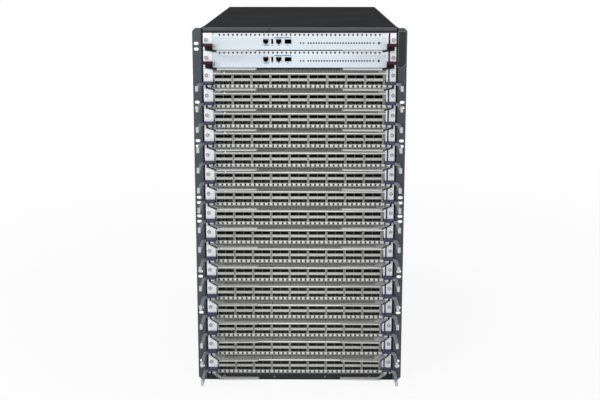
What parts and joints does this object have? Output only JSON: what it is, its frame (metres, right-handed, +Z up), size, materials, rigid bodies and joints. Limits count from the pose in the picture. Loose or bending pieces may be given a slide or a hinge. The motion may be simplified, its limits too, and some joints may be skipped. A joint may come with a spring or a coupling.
{
  "type": "modular chassis switch",
  "caption": "Tall 19-inch modular chassis switch with controller cards above a stack of line cards, each with port cages, ejector levers and cable hooks.",
  "frame": {"origin": "centre of the chassis body's flat base", "axes": "+Z up, +X to the right seen from the front, card faces towards -Y"},
  "size_m": [0.4826, 0.959, 0.838],
  "materials": {
    "chassis_paint": "satin",
    "ear_paint": "satin",
    "circuit_board": "matte",
    "module_sheet": "satin",
    "controller_sheet": "satin",
    "line_card_sheet": "satin",
    "lever_steel": "satin",
    "button_plastic": "matte"
  },
  "bodies": {
    "chassis": {"chassis_shell": "chassis_paint", "rack_ears": "ear_paint", "midplane": "circuit_board", "rear_modules": "module_sheet"},
    "controller_card_1": {"controller_card_1": "controller_sheet"},
    "controller_lever_1_left": {"controller_lever_1_left": "lever_steel"},
    "controller_lever_1_right": {"controller_lever_1_right": "lever_steel"},
    "reset_button_1": {"reset_button_1": "button_plastic"},
    "controller_card_2": {"controller_card_2": "controller_sheet"},
    "controller_lever_2_left": {"controller_lever_2_left": "lever_steel"},
    "controller_lever_2_right": {"controller_lever_2_right": "lever_steel"},
    "reset_button_2": {"reset_button_2": "button_plastic"},
    "line_card_01": {"line_card_01": "line_card_sheet"},
    "line_lever_01_left": {"line_lever_01_left": "lever_steel"},
    "line_lever_01_right": {"line_lever_01_right": "lever_steel"},
    "line_card_02": {"line_card_02": "line_card_sheet"},
    "line_lever_02_left": {"line_lever_02_left": "lever_steel"},
    "line_lever_02_right": {"line_lever_02_right": "lever_steel"},
    "line_card_03": {"line_card_03": "line_card_sheet"},
    "line_lever_03_left": {"line_lever_03_left": "lever_steel"},
    "line_lever_03_right": {"line_lever_03_right": "lever_steel"},
    "line_card_04": {"line_card_04": "line_card_sheet"},
    "line_lever_04_left": {"line_lever_04_left": "lever_steel"},
    "line_lever_04_right": {"line_lever_04_right": "lever_steel"},
    "line_card_05": {"line_card_05": "line_card_sheet"},
    "line_lever_05_left": {"line_lever_05_left": "lever_steel"},
    "line_lever_05_right": {"line_lever_05_right": "lever_steel"},
    "line_card_06": {"line_card_06": "line_card_sheet"},
    "line_lever_06_left": {"line_lever_06_left": "lever_steel"},
    "line_lever_06_right": {"line_lever_06_right": "lever_steel"},
    "line_card_07": {"line_card_07": "line_card_sheet"},
    "line_lever_07_left": {"line_lever_07_left": "lever_steel"},
    "line_lever_07_right": {"line_lever_07_right": "lever_steel"},
    "line_card_08": {"line_card_08": "line_card_sheet"},
    "line_lever_08_left": {"line_lever_08_left": "lever_steel"},
    "line_lever_08_right": {"line_lever_08_right": "lever_steel"},
    "line_card_09": {"line_card_09": "line_card_sheet"},
    "line_lever_09_left": {"line_lever_09_left": "lever_steel"},
    "line_lever_09_right": {"line_lever_09_right": "lever_steel"},
    "line_card_10": {"line_card_10": "line_card_sheet"},
    "line_lever_10_left": {"line_lever_10_left": "lever_steel"},
    "line_lever_10_right": {"line_lever_10_right": "lever_steel"},
    "line_card_11": {"line_card_11": "line_card_sheet"},
    "line_lever_11_left": {"line_lever_11_left": "lever_steel"},
    "line_lever_11_right": {"line_lever_11_right": "lever_steel"},
    "line_card_12": {"line_card_12": "line_card_sheet"},
    "line_lever_12_left": {"line_lever_12_left": "lever_steel"},
    "line_lever_12_right": {"line_lever_12_right": "lever_steel"},
    "line_card_13": {"line_card_13": "line_card_sheet"},
    "line_lever_13_left": {"line_lever_13_left": "lever_steel"},
    "line_lever_13_right": {"line_lever_13_right": "lever_steel"},
    "line_card_14": {"line_card_14": "line_card_sheet"},
    "line_lever_14_left": {"line_lever_14_left": "lever_steel"},
    "line_lever_14_right": {"line_lever_14_right": "lever_steel"},
    "line_card_15": {"line_card_15": "line_card_sheet"},
    "line_lever_15_left": {"line_lever_15_left": "lever_steel"},
    "line_lever_15_right": {"line_lever_15_right": "lever_steel"},
    "line_card_16": {"line_card_16": "line_card_sheet"},
    "line_lever_16_left": {"line_lever_16_left": "lever_steel"},
    "line_lever_16_right": {"line_lever_16_right": "lever_steel"}
  },
  "joints": [
    {"name": "controller_card_1_slide", "type": "slide", "parent": "chassis", "child": "controller_card_1", "axis": [0, -1, 0], "range_m": [0, 0.45]},
    {"name": "controller_lever_1_left_pivot", "type": "hinge", "parent": "controller_card_1", "child": "controller_lever_1_left", "pos_m": [-0.2075, -0.43, 0.7918], "axis": [0, 0, -1], "range_deg": [0, 65]},
    {"name": "controller_lever_1_right_pivot", "type": "hinge", "parent": "controller_card_1", "child": "controller_lever_1_right", "pos_m": [0.2075, -0.43, 0.7918], "axis": [0, 0, 1], "range_deg": [0, 65]},
    {"name": "reset_button_1_press", "type": "slide", "parent": "controller_card_1", "child": "reset_button_1", "axis": [0, 1, 0], "range_m": [0, 0.001], "stiffness_N_per_m": 400, "springref_m": -0.001},
    {"name": "controller_card_2_slide", "type": "slide", "parent": "chassis", "child": "controller_card_2", "axis": [0, -1, 0], "range_m": [0, 0.45]},
    {"name": "controller_lever_2_left_pivot", "type": "hinge", "parent": "controller_card_2", "child": "controller_lever_2_left", "pos_m": [-0.2075, -0.43, 0.7518], "axis": [0, 0, -1], "range_deg": [0, 65]},
    {"name": "controller_lever_2_right_pivot", "type": "hinge", "parent": "controller_card_2", "child": "controller_lever_2_right", "pos_m": [0.2075, -0.43, 0.7518], "axis": [0, 0, 1], "range_deg": [0, 65]},
    {"name": "reset_button_2_press", "type": "slide", "parent": "controller_card_2", "child": "reset_button_2", "axis": [0, 1, 0], "range_m": [0, 0.001], "stiffness_N_per_m": 400, "springref_m": -0.001},
    {"name": "line_card_01_slide", "type": "slide", "parent": "chassis", "child": "line_card_01", "axis": [0, -1, 0], "range_m": [0, 0.45]},
    {"name": "line_lever_01_left_pivot", "type": "hinge", "parent": "line_card_01", "child": "line_lever_01_left", "pos_m": [-0.2075, -0.43, 0.7061], "axis": [0, 0, -1], "range_deg": [0, 65]},
    {"name": "line_lever_01_right_pivot", "type": "hinge", "parent": "line_card_01", "child": "line_lever_01_right", "pos_m": [0.2075, -0.43, 0.7061], "axis": [0, 0, 1], "range_deg": [0, 65]},
    {"name": "line_card_02_slide", "type": "slide", "parent": "chassis", "child": "line_card_02", "axis": [0, -1, 0], "range_m": [0, 0.45]},
    {"name": "line_lever_02_left_pivot", "type": "hinge", "parent": "line_card_02", "child": "line_lever_02_left", "pos_m": [-0.2075, -0.43, 0.6604], "axis": [0, 0, -1], "range_deg": [0, 65]},
    {"name": "line_lever_02_right_pivot", "type": "hinge", "parent": "line_card_02", "child": "line_lever_02_right", "pos_m": [0.2075, -0.43, 0.6604], "axis": [0, 0, 1], "range_deg": [0, 65]},
    {"name": "line_card_03_slide", "type": "slide", "parent": "chassis", "child": "line_card_03", "axis": [0, -1, 0], "range_m": [0, 0.45]},
    {"name": "line_lever_03_left_pivot", "type": "hinge", "parent": "line_card_03", "child": "line_lever_03_left", "pos_m": [-0.2075, -0.43, 0.6147], "axis": [0, 0, -1], "range_deg": [0, 65]},
    {"name": "line_lever_03_right_pivot", "type": "hinge", "parent": "line_card_03", "child": "line_lever_03_right", "pos_m": [0.2075, -0.43, 0.6147], "axis": [0, 0, 1], "range_deg": [0, 65]},
    {"name": "line_card_04_slide", "type": "slide", "parent": "chassis", "child": "line_card_04", "axis": [0, -1, 0], "range_m": [0, 0.45]},
    {"name": "line_lever_04_left_pivot", "type": "hinge", "parent": "line_card_04", "child": "line_lever_04_left", "pos_m": [-0.2075, -0.43, 0.569], "axis": [0, 0, -1], "range_deg": [0, 65]},
    {"name": "line_lever_04_right_pivot", "type": "hinge", "parent": "line_card_04", "child": "line_lever_04_right", "pos_m": [0.2075, -0.43, 0.569], "axis": [0, 0, 1], "range_deg": [0, 65]},
    {"name": "line_card_05_slide", "type": "slide", "parent": "chassis", "child": "line_card_05", "axis": [0, -1, 0], "range_m": [0, 0.45]},
    {"name": "line_lever_05_left_pivot", "type": "hinge", "parent": "line_card_05", "child": "line_lever_05_left", "pos_m": [-0.2075, -0.43, 0.5233], "axis": [0, 0, -1], "range_deg": [0, 65]},
    {"name": "line_lever_05_right_pivot", "type": "hinge", "parent": "line_card_05", "child": "line_lever_05_right", "pos_m": [0.2075, -0.43, 0.5233], "axis": [0, 0, 1], "range_deg": [0, 65]},
    {"name": "line_card_06_slide", "type": "slide", "parent": "chassis", "child": "line_card_06", "axis": [0, -1, 0], "range_m": [0, 0.45]},
    {"name": "line_lever_06_left_pivot", "type": "hinge", "parent": "line_card_06", "child": "line_lever_06_left", "pos_m": [-0.2075, -0.43, 0.4776], "axis": [0, 0, -1], "range_deg": [0, 65]},
    {"name": "line_lever_06_right_pivot", "type": "hinge", "parent": "line_card_06", "child": "line_lever_06_right", "pos_m": [0.2075, -0.43, 0.4776], "axis": [0, 0, 1], "range_deg": [0, 65]},
    {"name": "line_card_07_slide", "type": "slide", "parent": "chassis", "child": "line_card_07", "axis": [0, -1, 0], "range_m": [0, 0.45]},
    {"name": "line_lever_07_left_pivot", "type": "hinge", "parent": "line_card_07", "child": "line_lever_07_left", "pos_m": [-0.2075, -0.43, 0.4319], "axis": [0, 0, -1], "range_deg": [0, 65]},
    {"name": "line_lever_07_right_pivot", "type": "hinge", "parent": "line_card_07", "child": "line_lever_07_right", "pos_m": [0.2075, -0.43, 0.4319], "axis": [0, 0, 1], "range_deg": [0, 65]},
    {"name": "line_card_08_slide", "type": "slide", "parent": "chassis", "child": "line_card_08", "axis": [0, -1, 0], "range_m": [0, 0.45]},
    {"name": "line_lever_08_left_pivot", "type": "hinge", "parent": "line_card_08", "child": "line_lever_08_left", "pos_m": [-0.2075, -0.43, 0.3862], "axis": [0, 0, -1], "range_deg": [0, 65]},
    {"name": "line_lever_08_right_pivot", "type": "hinge", "parent": "line_card_08", "child": "line_lever_08_right", "pos_m": [0.2075, -0.43, 0.3862], "axis": [0, 0, 1], "range_deg": [0, 65]},
    {"name": "line_card_09_slide", "type": "slide", "parent": "chassis", "child": "line_card_09", "axis": [0, -1, 0], "range_m": [0, 0.45]},
    {"name": "line_lever_09_left_pivot", "type": "hinge", "parent": "line_card_09", "child": "line_lever_09_left", "pos_m": [-0.2075, -0.43, 0.3405], "axis": [0, 0, -1], "range_deg": [0, 65]},
    {"name": "line_lever_09_right_pivot", "type": "hinge", "parent": "line_card_09", "child": "line_lever_09_right", "pos_m": [0.2075, -0.43, 0.3405], "axis": [0, 0, 1], "range_deg": [0, 65]},
    {"name": "line_card_10_slide", "type": "slide", "parent": "chassis", "child": "line_card_10", "axis": [0, -1, 0], "range_m": [0, 0.45]},
    {"name": "line_lever_10_left_pivot", "type": "hinge", "parent": "line_card_10", "child": "line_lever_10_left", "pos_m": [-0.2075, -0.43, 0.2948], "axis": [0, 0, -1], "range_deg": [0, 65]},
    {"name": "line_lever_10_right_pivot", "type": "hinge", "parent": "line_card_10", "child": "line_lever_10_right", "pos_m": [0.2075, -0.43, 0.2948], "axis": [0, 0, 1], "range_deg": [0, 65]},
    {"name": "line_card_11_slide", "type": "slide", "parent": "chassis", "child": "line_card_11", "axis": [0, -1, 0], "range_m": [0, 0.45]},
    {"name": "line_lever_11_left_pivot", "type": "hinge", "parent": "line_card_11", "child": "line_lever_11_left", "pos_m": [-0.2075, -0.43, 0.2491], "axis": [0, 0, -1], "range_deg": [0, 65]},
    {"name": "line_lever_11_right_pivot", "type": "hinge", "parent": "line_card_11", "child": "line_lever_11_right", "pos_m": [0.2075, -0.43, 0.2491], "axis": [0, 0, 1], "range_deg": [0, 65]},
    {"name": "line_card_12_slide", "type": "slide", "parent": "chassis", "child": "line_card_12", "axis": [0, -1, 0], "range_m": [0, 0.45]},
    {"name": "line_lever_12_left_pivot", "type": "hinge", "parent": "line_card_12", "child": "line_lever_12_left", "pos_m": [-0.2075, -0.43, 0.2034], "axis": [0, 0, -1], "range_deg": [0, 65]},
    {"name": "line_lever_12_right_pivot", "type": "hinge", "parent": "line_card_12", "child": "line_lever_12_right", "pos_m": [0.2075, -0.43, 0.2034], "axis": [0, 0, 1], "range_deg": [0, 65]},
    {"name": "line_card_13_slide", "type": "slide", "parent": "chassis", "child": "line_card_13", "axis": [0, -1, 0], "range_m": [0, 0.45]},
    {"name": "line_lever_13_left_pivot", "type": "hinge", "parent": "line_card_13", "child": "line_lever_13_left", "pos_m": [-0.2075, -0.43, 0.1577], "axis": [0, 0, -1], "range_deg": [0, 65]},
    {"name": "line_lever_13_right_pivot", "type": "hinge", "parent": "line_card_13", "child": "line_lever_13_right", "pos_m": [0.2075, -0.43, 0.1577], "axis": [0, 0, 1], "range_deg": [0, 65]},
    {"name": "line_card_14_slide", "type": "slide", "parent": "chassis", "child": "line_card_14", "axis": [0, -1, 0], "range_m": [0, 0.45]},
    {"name": "line_lever_14_left_pivot", "type": "hinge", "parent": "line_card_14", "child": "line_lever_14_left", "pos_m": [-0.2075, -0.43, 0.112], "axis": [0, 0, -1], "range_deg": [0, 65]},
    {"name": "line_lever_14_right_pivot", "type": "hinge", "parent": "line_card_14", "child": "line_lever_14_right", "pos_m": [0.2075, -0.43, 0.112], "axis": [0, 0, 1], "range_deg": [0, 65]},
    {"name": "line_card_15_slide", "type": "slide", "parent": "chassis", "child": "line_card_15", "axis": [0, -1, 0], "range_m": [0, 0.45]},
    {"name": "line_lever_15_left_pivot", "type": "hinge", "parent": "line_card_15", "child": "line_lever_15_left", "pos_m": [-0.2075, -0.43, 0.0663], "axis": [0, 0, -1], "range_deg": [0, 65]},
    {"name": "line_lever_15_right_pivot", "type": "hinge", "parent": "line_card_15", "child": "line_lever_15_right", "pos_m": [0.2075, -0.43, 0.0663], "axis": [0, 0, 1], "range_deg": [0, 65]},
    {"name": "line_card_16_slide", "type": "slide", "parent": "chassis", "child": "line_card_16", "axis": [0, -1, 0], "range_m": [0, 0.45]},
    {"name": "line_lever_16_left_pivot", "type": "hinge", "parent": "line_card_16", "child": "line_lever_16_left", "pos_m": [-0.2075, -0.43, 0.0206], "axis": [0, 0, -1], "range_deg": [0, 65]},
    {"name": "line_lever_16_right_pivot", "type": "hinge", "parent": "line_card_16", "child": "line_lever_16_right", "pos_m": [0.2075, -0.43, 0.0206], "axis": [0, 0, 1], "range_deg": [0, 65]}
  ]
}
